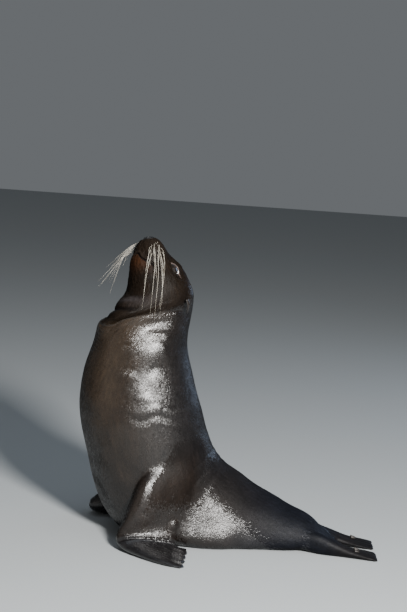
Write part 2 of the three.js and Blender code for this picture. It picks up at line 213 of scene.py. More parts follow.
SWELLINGS = [
    # behind, aside, up, radius and height of each rounded form on both sides of the head
    (30, 38, -12, 22, 7),  # whisker pad
    (92, 48, 50, 18, 4),  # brow
    (70, 48, 24, 19, -4),  # hollow in front of the eye
    (100, 64, 26, 18, 4),  # eyeball under the lids
    (38, 28, -42, 14, -4),  # hollow beside the chin
]


def body_surface(s, angle, grow=0.0):
    """The body's surface at a place along the spine and an angle round it."""
    row = body_at(s)
    _, left, back = facing(row[..., 3], row[..., 4])
    up, across = np.sin(angle), np.cos(angle)
    height = up * np.where(up > 0, row[..., 6], row[..., 7])
    rise = height + row[..., 8]
    reach = np.where(rise > 0, row[..., 6] + row[..., 8], row[..., 7] - row[..., 8])
    breadth = row[..., 5] * np.sqrt(np.clip(1 - (rise / reach) ** 2, 0, 1))
    offset = (np.sign(across) * breadth + grow * across)[..., None] * left
    offset = offset + (height + grow * up)[..., None] * back
    point = row[..., :3] + offset
    swelling = np.zeros_like(s)
    for behind, aside, up, radius, swell in SWELLINGS:
        for side in (1, -1):
            far = np.linalg.norm(point - in_head(behind, side * aside, up), axis=-1)
            swelling += swell * np.exp(-((far / radius) ** 2)) * (s > HEAD_START)
    point += unit(offset) * swelling[..., None]
    return point


def loft(points):
    """Vertices and faces of a closed body from a grid of ring points."""
    rings, sides = points.shape[:2]
    faces = []
    for i in range(rings - 1):
        for k in range(sides):
            n = (k + 1) % sides
            faces.append((i * sides + k, i * sides + n, (i + 1) * sides + n, (i + 1) * sides + k))
    faces.append(tuple(range(sides))[::-1])
    faces.append(tuple((rings - 1) * sides + k for k in range(sides)))
    return points.reshape(-1, 3), faces


def mesh_object(name, points, faces):
    """A piece from points in millimetres, with its faces turned outward."""
    form = bpy.data.meshes.new(name)
    form.from_pydata((points * MM).tolist(), [], faces)
    form.update()
    volume = bmesh.new()
    volume.from_mesh(form)
    if volume.calc_volume(signed=True) < 0:
        form.flip_normals()
    volume.free()
    piece = bpy.data.objects.new(name, form)
    bpy.context.collection.objects.link(piece)
    return piece


def round_shading(piece):
    for face in piece.data.polygons:
        face.use_smooth = True


def round_angles(sides):
    return np.arange(sides) * 2 * np.pi / sides


def ring_grid(along, sides):
    return np.meshgrid(along, round_angles(sides), indexing="ij")


BODY_RINGS = 300
BODY_SIDES = 144
NOSEWARD_CROWDING = 1.25
ring_s = BODY_LENGTH * (1 - (1 - np.linspace(0, 1, BODY_RINGS)) ** NOSEWARD_CROWDING)
ring_angle = round_angles(BODY_SIDES)
grid_s, grid_angle = ring_grid(ring_s, BODY_SIDES)
body_grid = body_surface(grid_s, grid_angle, -COAT_DEPTH)
body_grid[..., 2] = np.maximum(body_grid[..., 2], 0)
forms = [loft(body_grid)]

# ---- limbs
# The forelimbs are broad paddles: a short forearm that comes down out of the shoulder, and a hand
# that turns outward along the floor. The hind limbs trail flat behind, one on each side of the tail.
FORELIMB = np.array([
    # leading edge x, y, z, trailing edge x, y, z, thickness
    (-96, -92, 268, 0, -84, 262, 40),
    (-114, -130, 232, 4, -112, 226, 50),
    (-140, -158, 190, 8, -118, 184, 66),
    (-155, -172, 148, 6, -122, 140, 74),
    (-170, -180, 104, -2, -130, 98, 72),
    (-184, -184, 62, -18, -148, 58, 58),
    (-194, -190, 32, -30, -168, 30, 52),
    (-183, -210, 19, -26, -176, 17, 42),
    (-150, -243, 14, -18, -172, 12, 34),
    (-98, -284, 10, -9, -160, 8, 25),
    (-48, -313, 7, -4, -150, 6, 17),
    (-12, -323, 4, -2, -143, 3, 9),
], dtype=float)
TAIL_LINE = -58
HINDLIMB = np.array([
    # x, outer and inner edge from the tail's line, height of the middle, thickness
    (318, 60, 6, 36, 52),
    (350, 66, 10, 31, 58),
    (384, 71, 16, 24, 50),
    (416, 75, 22, 18, 37),
    (450, 80, 18, 12, 26),
    (486, 87, 12, 8, 18),
    (518, 93, 9, 4, 9),
], dtype=float)
TOES = 5
TOES_START = 0.8
TOE_RIDGES = 1.3
FORE_TOE_REACH = 9
HIND_TOE_REACH = 10
LIMB_COAT_DEPTH = 0.3
WRIST = np.array([-112.0, 170.0, 0.0])
RIGHT_HAND_FORWARD = 98
RIGHT_HAND_INWARD = 42
RIGHT_HAND_TURN = 25


def smooth(x, low, high):
    """0 below low, 1 above high, and an even S between them."""
    t = np.clip((x - low) / (high - low), 0, 1)
    return t * t * (3 - 2 * t)


def right_forelimb(points):
    """The left forelimb mirrored, with the hand set further forward and turned further out."""
    mirrored = points * (1, -1, 1) - WRIST
    share = smooth(230 - points[:, 2], 55, 205)
    turn = np.radians(RIGHT_HAND_TURN) * share
    x = mirrored[:, 0] * np.cos(turn) - mirrored[:, 1] * np.sin(turn)
    y = mirrored[:, 0] * np.sin(turn) + mirrored[:, 1] * np.cos(turn)
    shift = share[:, None] * (-RIGHT_HAND_FORWARD, -RIGHT_HAND_INWARD, 0)
    return np.column_stack([x, y, mirrored[:, 2]]) + WRIST + shift


def limb(lead, trail, thick, toe_reach, side):
    """The surface of a flat limb, as a function of u along it and the angle round it."""
    middle = (lead + trail) / 2
    reach = np.concatenate([[0], np.cumsum(np.linalg.norm(np.diff(middle, axis=0), axis=1))])
    at = spline(reach, np.column_stack([lead, trail, thick]))
    total = reach[-1]

    def surface(u, angle, grow=0.0):
        row = at(u * total)
        ahead, before = at(np.minimum(u * total + 4, total)), at(np.maximum(u * total - 4, 0))
        onward = unit((ahead[..., :3] + ahead[..., 3:6] - before[..., :3] - before[..., 3:6]) / 2)
        half = (row[..., 3:6] - row[..., :3]) / 2
        wide = np.linalg.norm(half, axis=-1)[..., None]
        top = np.cross(onward, half)
        top *= side / np.linalg.norm(top, axis=-1)[..., None]
        across = np.cos(angle)
        height = (row[..., 6] / 2 + grow) * np.sin(angle) * (1 - 0.3 * across)
        toe = np.sin(TOES / 2 * np.pi * (across + 1)) ** 2
        scallop = toe_reach * np.clip((u - TOES_START) / 0.2, 0, 1) * toe
        toes = TOE_RIDGES * smooth(u, 0.55, TOES_START) * (toe - 0.5)
        height = height + toes * np.sin(angle) * (np.sin(angle) > 0)
        edge = half / wide * (wide + grow) * across[..., None]
        middle_now = (row[..., :3] + row[..., 3:6]) / 2
        place = middle_now + edge + top * height[..., None] + onward * scallop[..., None]
        return place, onward, top, half

    return surface, total


fore_lead, fore_trail, fore_thick = FORELIMB[:, :3], FORELIMB[:, 3:6], FORELIMB[:, 6]
fore_left, fore_length = limb(fore_lead, fore_trail, fore_thick, FORE_TOE_REACH, 1)
fore_right, _ = limb(
    right_forelimb(fore_lead), right_forelimb(fore_trail), fore_thick, FORE_TOE_REACH, -1
)


def hind_limb(side):
    def edge(column):
        from_side = TAIL_LINE - side * HINDLIMB[:, column]
        return np.column_stack([HINDLIMB[:, 0], from_side, HINDLIMB[:, 3]])

    return limb(edge(1), edge(2), HINDLIMB[:, 4], HIND_TOE_REACH, side)


hind_left, hind_length = hind_limb(1)
hind_right, _ = hind_limb(-1)
LIMB_RINGS = 130
LIMB_SIDES = 120
limbs = [
    (fore_left, fore_length),
    (fore_right, fore_length),
    (hind_left, hind_length),
    (hind_right, hind_length),
]
limb_u, limb_angle = ring_grid(np.linspace(0, 1, LIMB_RINGS), LIMB_SIDES)
limb_grids = []
for surface, _ in limbs:
    grid = surface(limb_u, limb_angle, -LIMB_COAT_DEPTH)[0]
    grid[..., 2] = np.maximum(grid[..., 2], 0)
    limb_grids.append(grid)
    forms.append(loft(grid))

# ---- skin
# One unbroken skin lies over body and limbs. It is grown over them as a fine even net, eased
# where the limbs run into the trunk, and pressed flat where the animal's weight is on the floor.
NET_PITCH = 3.3
JOIN_REACH = 24
LIMBS_BELOW = 300
FAR_OFF = 1000.0
EYE_RADIUS = 19
EYE_DEPTH = 20.5
EYE_BEHIND = 100
EYE_ASIDE = 67.5
EYE_UP = 26
points, faces, first = [], [], 0
for form_points, form_faces in forms:
    points.append(form_points)
    faces += [tuple(first + i for i in face) for face in form_faces]
    first += len(form_points)
skin = mesh_object("skin", np.vstack(points), faces)
net = skin.modifiers.new("net", "REMESH")
net.mode = "VOXEL"
net.voxel_size = NET_PITCH * MM
bpy.context.view_layer.update()
grown = bpy.data.meshes.new_from_object(skin.evaluated_get(bpy.context.evaluated_depsgraph_get()))
skin.modifiers.clear()
skin.data = grown


def coordinates(piece, what="co"):
    flat = np.empty(len(piece.data.vertices) * 3)
    piece.data.vertices.foreach_get(what, flat)
    return flat.reshape(-1, 3) / (MM if what == "co" else 1)


def set_coordinates(piece, places):
    piece.data.vertices.foreach_set("co", (places * MM).ravel())
    piece.data.update()


def refine(piece, chosen):
    """Splits the faces whose middles are chosen into four."""
    form = bmesh.new()
    form.from_mesh(piece.data)
    wanted = chosen(np.array([f.calc_center_median() for f in form.faces]) / MM)
    form.faces.ensure_lookup_table()
    edges = {e for i in np.flatnonzero(wanted) for e in form.faces[i].edges}
    bmesh.ops.subdivide_edges(form, edges=list(edges), cuts=1, use_grid_fill=True)
    form.to_mesh(piece.data)
    form.free()


def ease(piece, places, weight, rounds):
    """Moves each point towards the mean of its neighbours, by its weight."""
    ends = np.empty(len(piece.data.edges) * 2, dtype=np.int32)
    piece.data.edges.foreach_get("vertices", ends)
    a, b = ends.reshape(-1, 2).T
    count = np.bincount(a, minlength=len(places)) + np.bincount(b, minlength=len(places))
    for _ in range(rounds):
        total = np.empty_like(places)
        for axis in range(3):
            total[:, axis] = np.bincount(a, places[b, axis], len(places))
            total[:, axis] += np.bincount(b, places[a, axis], len(places))
        places = places + (total / count[:, None] - places) * weight[:, None] * 0.6
    return places


def tree_of(samples):
    tree = KDTree(len(samples))
    for i, sample in enumerate(samples):
        tree.insert(sample, i)
    tree.balance()
    return tree


def nearest(tree, places, wanted=None):
    """The nearest sample and its distance, for the wanted points; the others stay far off."""
    index, far = np.zeros(len(places), dtype=int), np.full(len(places), FAR_OFF)
    for i in np.arange(len(places)) if wanted is None else np.flatnonzero(wanted):
        _, index[i], far[i] = tree.find(places[i])
    return index, far


def eye_place(side):
    """The eyeball's middle, and the ways out of it, along to the nose and up to the crown."""
    lids = in_head(EYE_BEHIND, side * EYE_ASIDE, EYE_UP)
    outward = lids - in_head(EYE_BEHIND + 6, side * 20, 4)
    outward /= np.linalg.norm(outward)
    along = SKULL_ONWARD - outward * (SKULL_ONWARD @ outward)
    along /= np.linalg.norm(along)
    over = np.cross(along, outward) * side
    return lids - outward * EYE_DEPTH, outward, along, over


body_tree = tree_of(body_grid.reshape(-1, 3))
limb_tree = tree_of(np.vstack([grid.reshape(-1, 3) for grid in limb_grids]))
places = coordinates(skin)
_, to_body = nearest(body_tree, places)
_, to_limb = nearest(limb_tree, places, places[:, 2] < LIMBS_BELOW)
near_both = np.exp(-((np.maximum(to_body, to_limb) / JOIN_REACH) ** 2))
# The front of the arm keeps its crease; behind and above, the arm runs smoothly into the flank.
arm_front = np.minimum(np.abs(places[:, 1]) - 100, 200 - places[:, 2]) > 0
arm_front &= places[:, 0] < -105 - (places[:, 2] - 150) * 0.1
near_both *= np.where(arm_front, 0.12, 1.0)
places = ease(skin, places, np.clip(0.12 + near_both, 0, 1), 40)
places[:, 2] = np.maximum(places[:, 2], 0)
set_coordinates(skin, places)
refine(skin, lambda p: head_place(p)[0] < 200)
eyes = [eye_place(1), eye_place(-1)]


def finest(p):
    behind = head_place(p)[0]
    near_eye = np.minimum(*[np.linalg.norm(p - eye[0], axis=1) for eye in eyes]) < 33
    return (behind < 56) | near_eye


refine(skin, finest)

# Every point of the skin knows where it lies: how far along the body and at what angle round it,
# or along and round which limb. The folds, the colours and the lie of the fur all follow that.
places = coordinates(skin)
index, to_body = nearest(body_tree, places)
ring, spoke = np.divmod(index, BODY_SIDES)
slope_s = np.gradient(body_grid, ring_s, axis=0)
slope_a = (np.roll(body_grid, -1, 1) - np.roll(body_grid, 1, 1)) / (2 * ring_angle[1])
t_s, t_a = slope_s[ring, spoke], slope_a[ring, spoke]
rest = places - body_grid[ring, spoke]
skin_s = ring_s[ring] + np.sum(rest * t_s, 1) / np.maximum(np.sum(t_s * t_s, 1), 0.05)
skin_angle = ring_angle[spoke] + np.sum(rest * t_a, 1) / np.maximum(np.sum(t_a * t_a, 1), 100)
skin_s = np.clip(skin_s, 0, BODY_LENGTH)
row = body_at(skin_s)
_, row_left, row_back = facing(row[:, 3], row[:, 4])
from_middle = places - row[:, :3]
fur_lie = -t_s / np.maximum(np.linalg.norm(t_s, axis=1), 1e-6)[:, None]
flow = np.column_stack([skin_s, np.sum(from_middle * row_left, 1), np.sum(from_middle * row_back, 1)])

limb_index, to_limb = nearest(limb_tree, places, places[:, 2] < LIMBS_BELOW)
limb_number, rest_index = np.divmod(limb_index, LIMB_RINGS * LIMB_SIDES)
limb_ring, limb_spoke = np.divmod(rest_index, LIMB_SIDES)
skin_u = limb_ring / (LIMB_RINGS - 1)
limb_turn = limb_spoke * 2 * np.pi / LIMB_SIDES
limb_share = smooth(to_body - to_limb, -4, 8)
join_share = smooth(to_body - to_limb, -22, 22)
limb_flow = np.zeros_like(flow)
limb_lie = np.zeros_like(flow)
limb_across = np.zeros(len(places))
for number, (surface, length) in enumerate(limbs):
    mine = limb_number == number
    place, onward, top, half = surface(skin_u[mine], limb_turn[mine], -LIMB_COAT_DEPTH)
    ahead = np.sum((places[mine] - place) * onward, 1)
    skin_u[mine] = np.clip(skin_u[mine] + ahead / length, 0, 1)
    limb_flow[mine] = np.column_stack([
        skin_u[mine] * length + 2000 * (number + 1),
        np.cos(limb_turn[mine]) * np.linalg.norm(half, axis=1),
        np.sum((places[mine] - place) * top, 1),
    ])
    limb_lie[mine] = onward
    beyond = np.sum((places[mine] - place) * half, 1) / np.sum(half * half, 1)
    limb_across[mine] = np.cos(limb_turn[mine]) + beyond
fur_lie = fur_lie * (1 - join_share)[:, None] + limb_lie * join_share[:, None]


# ---- folds and face
# The turned neck throws the loose skin into a collar and a roll under the throat. The face has a
# pad of bare skin round the nostrils, swollen whisker pads, a shut mouth and lids over each eye.
COLLAR_AT = 1060
CREASE_AT = 1105
NECK_FOLDS = (1010, 968, 905, 850, 806, 768)
BREAST_FOLDS = (560, 512, 470)
WRIST_AT = 0.705
BOSSES = [
    # middle, height and radius of each place where bone shows under the skin of the left arm
    ((-37, -168, 70), 4.5, 11),
    ((-123, -190, 90), 2.6, 14),
    ((-152, -186, 62), 2.0, 12),
]


def ripple(where, pitch, seed, count=28):
    """An even, seamless unevenness of about unit height and the given pitch."""
    dice = np.random.default_rng(seed)
    way = dice.normal(size=(count, 3))
    tightness = 2 * np.pi / pitch * dice.uniform(0.7, 1.3, (count, 1))
    way *= tightness / np.linalg.norm(way, axis=1)[:, None]
    phase = dice.uniform(0, 2 * np.pi, count)
    total = np.zeros(len(where))
    for w, f in zip(way, phase):
        total += np.sin(where @ w + f)
    return total * math.sqrt(2 / count)


def bell(x, width):
    """1 at nothing, falling away on both sides over the width."""
    return np.exp(-((x / width) ** 2))


turn = (skin_angle + np.pi) % (2 * np.pi) - np.pi
throat = -np.sin(turn)
flank = np.abs(np.cos(turn))
on_body = 1 - limb_share
uneven = ripple(places, 70, 1)
lift = 0.45 * ripple(places, 110, 2) * on_body + 0.06 * ripple(flow * (0.4, 1, 1), 16, 3)

# The collar: a step down towards the head, deepest on the left, with the jowl pressed in above it.
collar = skin_s - (COLLAR_AT - 46 * bell(turn + 1.4, 0.62) + 2.5 * uneven)
collar_share = smooth(throat, -0.72, -0.25) * on_body
left_share = 0.25 + 0.75 * smooth(turn, -2.0, -1.3) * (1 - smooth(turn, 1.5, 1.8))
step = smooth(collar, -3, 6) * (1 - smooth(collar, 18, 120))
lift += collar_share * left_share * (0.5 * bell(collar + 5, 5) - 6.0 * step)
lift -= 12 * bell(skin_s - 1110, 26) * bell(turn + 0.55, 0.6)
waist = 8.5 * bell(collar - 2, 22) * smooth(turn, -1.35, -0.9) * (1 - smooth(turn, 0.7, 1.2))
lift -= waist * on_body
lift += 8.0 * bell(skin_s - 1000, 55) * bell(turn - 0.3, 0.35) * on_body
# The roll of skin under the throat, and the flesh of the rump that has settled on the floor.
lift += 11 * bell(skin_s - 1112, 30) * bell(turn + 1.75, 0.6)
settled = smooth(skin_s, 300, 360) * (1 - smooth(skin_s, 480, 530)) * on_body
lift += 7 * settled * bell(places[:, 2] - 26, 34) * smooth(flank, 0.5, 0.9)
wrinkle = np.sin(collar * 2 * np.pi / 12 + 1.6 * ripple(places, 45, 4))
lift += collar_share * 0.35 * wrinkle * bell(collar + 40, 26)
crease = skin_s - (CREASE_AT + 3 * uneven)
crease_share = smooth(-turn, 0.85, 1.3) * (1 - smooth(-turn, 2.4, 2.8))
crease_form = -4.0 * bell(crease, 6) + 3.0 * bell(crease - 17, 12) + 1.6 * bell(crease + 14, 10)
lift += crease_share * crease_form
# Broad folds up the neck, and low ones across the breast.
for number, fold in enumerate(NECK_FOLDS):
    arch = 22 * flank**3 + 7 * np.sin(2 * turn + number * 1.7) + 6 * uneven
    q = skin_s - fold - arch
    share = smooth(flank, 0.3, 0.95) * on_body * smooth(ripple(places, 110, 30 + number), -1.0, 1.0)
    lift += share * (-1.1 * bell(q, 11) + 1.1 * bell(q + 21, 15))
for number, fold in enumerate(BREAST_FOLDS):
    q = skin_s - fold - 5 * np.sin(2 * turn + number)
    lift += smooth(np.sin(turn), -0.1, 0.6) * on_body * (-0.6 * bell(q, 8) + 0.6 * bell(q + 14, 11))

# Wrists: a deep bend where the hand turns out along the floor, finer wrinkles above it, a ridge
# down the forearm's leading edge, and knuckles of bone under the skin.
fore = limb_share * (limb_number < 2)
outer = smooth(np.sin(limb_turn), 0.0, 0.4)
bend = (skin_u - WRIST_AT) * fore_length + 3.5 * limb_across + 1.2 * uneven
bend_form = -3.6 * bell(bend, 3.4) + 2.2 * bell(bend + 9, 6) + 1.2 * bell(bend - 10, 7)
lift += fore * outer * bend_form
wrinkle = np.sin(bend * 2 * np.pi / 9 + ripple(places, 40, 5))
lift += fore * outer * 0.6 * wrinkle * bell(bend + 24, 16)
forearm = fore * outer * smooth(skin_u, 0.12, 0.3) * (1 - smooth(skin_u, 0.55, 0.68))
lift += forearm * (6.0 * bell(limb_across + 0.8, 0.2) - 3.5 * bell(limb_across - 0.05, 0.42))
for boss, rise, radius in BOSSES:
    boss = np.array([boss], dtype=float)
    for middle in (boss, right_forelimb(boss)):
        far = np.linalg.norm(places - middle, axis=1)
        lift += rise * (bell(far, radius) - 0.3 * bell(far - 1.7 * radius, 0.5 * radius) * fore)
places = places + coordinates(skin, "normal") * lift[:, None]

behind, aside, up = head_place(places)
width = np.abs(aside)
on_head = 1 - smooth(behind, 120, 160)
lift = np.zeros(len(places))
lip_rise = 8 * smooth(width, 2, 22) * (1 - smooth(behind, 50, 80))
lips = -0.96 * (up + 44) + 0.28 * (behind - 46) - lip_rise
mouth = (1 - smooth(behind, 80, 98)) * (up < 0)
corner_curl = 3.0 * smooth(behind, 74, 96)
lift += mouth * (-3.6 * bell(lips + corner_curl, 1.7) + 1.5 * bell(lips + 5 + corner_curl, 3.5))
lift += mouth * 0.8 * bell(lips - 4 + corner_curl, 3)
pad = np.sqrt((behind / 12) ** 2 + (aside / 19) ** 2 + ((up - 3) / 15) ** 2)
lift += 0.9 * (1 - smooth(pad, 0.75, 1.0)) - 1.1 * bell(pad - 1.1, 0.1)
nostril_line = np.stack([width - (7.5 + 0.42 * (up - 2)), np.maximum(np.abs(up - 2) - 6.0, 0)], -1)
nostril = np.linalg.norm(nostril_line, axis=-1)
front = behind < 16
lift += front * (-5.5 * bell(nostril, 1.5) + 0.8 * bell(nostril - 3.2, 1.3))
lift += -1.5 * bell(aside, 1.1) * smooth(-up, -6, 0) * (1 - smooth(-up, 30, 40)) * (behind < 34)
# Whisker roots: row from the top, column from the front, then how far behind the nose tip, out
# and up each one is.
whisker_roots = [
    (
        row,
        column,
        15 + 9.5 * column + 1.8 * row,
        26 + 3.2 * column - 0.05 * row * row,
        2 - 6.2 * row - 1.2 * column,
    )
    for row in range(5)
    for column in range(4 if row < 3 else 3)
]
for _, _, b, a, u in whisker_roots:
    far = np.sqrt((behind - b) ** 2 + 0.35 * (width - a) ** 2 + (up - u) ** 2)
    lift += 0.55 * bell(far, 1.5) - 0.2 * bell(far - 3, 1.0)
lift += on_head * 0.25 * ripple(places, 9, 6)
places = places + coordinates(skin, "normal") * (lift * (behind < 170))[:, None]

# Lids: the skin draws tight over the eyeball, with a fold above and a pouch below the opening.
LID_THICK = 2.0
LID_HALF = 20.5
LID_UP = 5.0
LID_DOWN = 10.0
LID_ROUND = 2.4
lid_rim = np.zeros(len(places))
painted_lid_highlight = np.zeros(len(places))
for middle, outward, along, over in eyes:
    away = places - middle
    x, y = away @ along, away @ over
    reach = np.linalg.norm(away, axis=1)
    facing_out = away @ outward > 0
    hug = np.exp(-(((x / 24) ** 2 + (y / 17) ** 2) ** 2)) * facing_out
    ring = np.sqrt((x / 27) ** 2 + (y / 20) ** 2)
    new_reach = reach + (EYE_RADIUS + LID_THICK - reach) * hug
    new_reach -= 2.4 * bell(ring - 1.05, 0.16) * facing_out * (reach < 50)
    lid_x = (x - 1.0) / LID_HALF
    open_up = LID_UP * np.clip(1 - lid_x**2, 0, 1) ** 0.75
    open_down = LID_DOWN * np.clip(1 - lid_x**2, 0, 1) ** 0.9
    edge = np.where(y > 0, y - open_up, -y - open_down)
    edge = np.where(np.abs(lid_x) < 1, edge, np.hypot(np.abs(x - 1) - LID_HALF, y))
    near = facing_out & (reach < 46)
    lid_fold = np.where(y > 0, edge - 6.5, edge - 8.5)
    new_reach += near * (0.9 * bell(edge - 2.4, 1.8) - 1.7 * bell(lid_fold, 1.3))
    rim = EYE_RADIUS + 0.1 + (new_reach - EYE_RADIUS) * smooth(edge, -0.2, LID_ROUND)
    rim -= 5 * (1 - smooth(edge, -3.0, -0.4))
    new_reach = np.where(near & (edge < LID_ROUND), rim, new_reach)
    places = middle + away * (new_reach / reach)[:, None]
    lid_rim = np.maximum(lid_rim, near * bell(np.maximum(edge - 0.4, 0), 1.5))
    # A painted highlight: a pale line along the upper lid's rim, where it catches the light.
    painted_lid_highlight = np.maximum(painted_lid_highlight, near * bell(edge - 2.3, 0.85) * smooth(y, -1, 3))
places[:, 2] = np.maximum(places[:, 2], 0)
set_coordinates(skin, places)
behind, _, up = head_place(places)


# The skin's finish: wet, close-lying fur, dark on the back, warmer brown on the breast, reddish on
# the chin, and near-black bare skin on the flippers and the nose. Fine streaks follow the fur.
# Some light and shade is painted into the colour as well. There is a bluish sky sheen on the back and
# the rump, and a highlight on the throat roll and along each upper lid. There is shade in the throat
# crease, the nostrils and the mouth line, and the head's darker brown is partly painted shade.
def node(tree, kind, inputs=(), **settings):
    made = tree.nodes.new("ShaderNode" + kind)
    for key, value in settings.items():
        setattr(made, key, value)
    for key, value in dict(inputs).items():
        if isinstance(value, bpy.types.NodeSocket):
            tree.links.new(value, made.inputs[key])
        else:
            made.inputs[key].default_value = value
    return made


def attribute(tree, name, output="Vector"):
    return node(tree, "Attribute", attribute_name=name).outputs[output]


def scaled(tree, lie, by):
    return node(tree, "VectorMath", {0: lie, 1: by}, operation="MULTIPLY").outputs[0]


def noise(tree, where, scale, detail=3.0, rough=0.55):
    return node(
        tree, "TexNoise", {"Vector": where, "Scale": scale, "Detail": detail, "Roughness": rough}
    ).outputs["Fac"]


def ramp(tree, value, low, high, to_low, to_high):
    made = node(tree, "MapRange", {"Value": value, "From Min": low, "From Max": high})
    made.inputs["To Min"].default_value = to_low
    made.inputs["To Max"].default_value = to_high
    return made.outputs["Result"]


def shade(*steps, count):
    """Blends colours over some points: a first colour, then (share, colour) pairs laid over it."""
    colour = np.tile(np.array(steps[0], float), (count, 1))
    for share, over in steps[1:]:
        colour += (np.array(over) - colour) * np.clip(share, 0, 1)[:, None]
    return colour


def bump(tree, height, distance, strength, over=None):
    """Unevenness laid over the one before it."""
    inputs = {"Height": height, "Distance": distance, "Strength": strength}
    if over is not None:
        inputs["Normal"] = over
    return node(tree, "Bump", inputs).outputs[0]


def give(piece, name, kind, values, domain="POINT"):
    layer = piece.data.attributes.new(name, kind, domain)
    field = {"FLOAT": "value", "FLOAT_COLOR": "color"}.get(kind, "vector")
    layer.data.foreach_set(field, values.ravel())


nose_share = (1 - smooth(pad, 0.92, 1.06)) * (behind < 16)
chin_share = smooth(lips, 0, 6) * bell(behind - 52, 26) * smooth(-up, 20, 40)
muzzle_share = bell(behind - 26, 24) * on_head
hand_start = np.where(limb_number < 2, smooth(skin_u, 0.63, 0.74), smooth(skin_u, 0.25, 0.6))
flipper_share = hand_start * limb_share
warm = smooth(throat, -0.35, 0.75) * smooth(skin_s, 560, 880) * (1 - smooth(skin_s, 1040, 1120))
tone = shade(
    (0.0062, 0.0044, 0.0034),
    # The back: the fur's own greyer tone, with a painted bluish sky sheen in it.
    (smooth(-throat, 0.1, 0.9) * 0.8, (0.0048, 0.0044, 0.0048)),
    # Painted reflection: the rump is tinted blue-black for the sky that its wet fur mirrors.
    (1 - smooth(skin_s, 180, 420), (0.0036, 0.0041, 0.0062)),
    (warm, (0.0175, 0.0112, 0.0064)),
    # The head: its own darker, warmer brown, darkened further as painted shade.
    (smooth(skin_s, 1070, 1120) * (1 - limb_share), (0.0056, 0.0035, 0.0021)),
    (muzzle_share * 0.7, (0.0095, 0.0062, 0.004)),
    (chin_share, (0.018, 0.0072, 0.003)),
    # Painted highlight: a pale greyish band along the top of the throat roll, where light catches it.
    (bell(skin_s - 1130, 8) * bell(turn + 1.5, 0.5), (0.022, 0.0185, 0.0185)),
    # Painted shade: the crease under the throat roll is darkened.
    (bell(crease, 5) * crease_share * 0.85, (0.0016, 0.001, 0.0008)),
    (join_share * (limb_number < 2), (0.0068, 0.0043, 0.003)),
    (flipper_share, (0.0045, 0.0041, 0.0046)),
    (nose_share, (0.0045, 0.0042, 0.0046)),
    (lid_rim * 0.9, (0.012, 0.008, 0.007)),
    # Painted highlight along each upper lid.
    (painted_lid_highlight * 0.8, (0.13, 0.095, 0.085)),
    # Painted shade: darker in the nostril slits.
    (bell(nostril, 1.8) * front, (0.002, 0.0015, 0.0015)),
    # Painted shade: darker along the groove of the shut mouth.
    (bell(lips, 1.8) * mouth, (0.004, 0.0025, 0.0025)),
    count=len(places),
)
tone *= np.exp(0.10 * ripple(places, 55, 7) + 0.10 * ripple(flow * (0.25, 1, 1), 12, 8))[:, None]
bare = np.clip(nose_share + lid_rim + flipper_share, 0, 1)
tone = np.column_stack([tone, np.ones(len(tone))])
give(skin, "tone", "FLOAT_COLOR", tone)
give(skin, "bare", "FLOAT", bare)
give(skin, "nose", "FLOAT", nose_share)
corner = np.empty(len(skin.data.loops), dtype=np.int32)
skin.data.loops.foreach_get("vertex_index", corner)
sides = np.empty(len(skin.data.polygons), dtype=np.int32)
skin.data.polygons.foreach_get("loop_total", sides)
first_point = corner[np.cumsum(sides) - sides]
limb_faces = np.repeat(limb_share[first_point] > 0.5, sides)[:, None]
give(skin, "flow", "FLOAT_VECTOR", np.where(limb_faces, limb_flow[corner], flow[corner]) * MM, "CORNER")

# The head, the upper arms, the rump and the hind flippers have begun to dry, so they shine far
# less than the rest. Each finish: its shine, how smooth it is, and its film of water.
WET = (0.5, 0.23, 0.08)
DRY = (0.09, 0.46, 0.0)
FILM_ROUGHNESS = 0.16
GLOSS_SPREAD = 0.12
CLUMP_DEPTH = 0.0022
GRAIN_DEPTH = 0.0012
dry = np.clip(smooth(collar, 4, 30) * collar_share + 1 - smooth(behind, 120, 180), 0, 1)
rear = 1 - smooth(skin_s - 1.58 * (places[:, 2] - 32), 215, 300)
dry = np.maximum(dry, rear * (1 - smooth(skin_s, 470, 560)) * on_body)
upper_arm = smooth(to_body - to_limb, -55, -15) * (limb_number < 2) * (1 - smooth(skin_u, 0.28, 0.56))
dry = np.maximum(dry, upper_arm * smooth(limb_across, -0.66, -0.46 + 0.7 * (1 - join_share)))
dry = np.maximum(dry * (1 - bare), limb_share * (limb_number > 1))


def coat_paint(name, finish):
    """A finish of the coat, and how to give it gloss that varies from patch to patch."""
    shine, smoothest, film = finish
    settings = {"Specular IOR Level": shine, "Coat Weight": film, "Coat Roughness": FILM_ROUGHNESS}
    made, tree, shader = paint(name, settings)

    def polish(patches, low, high):
        gloss = ramp(tree, patches, low, high, smoothest, smoothest + GLOSS_SPREAD)
        tree.links.new(gloss, shader.inputs["Roughness"])

    return made, tree, shader, polish


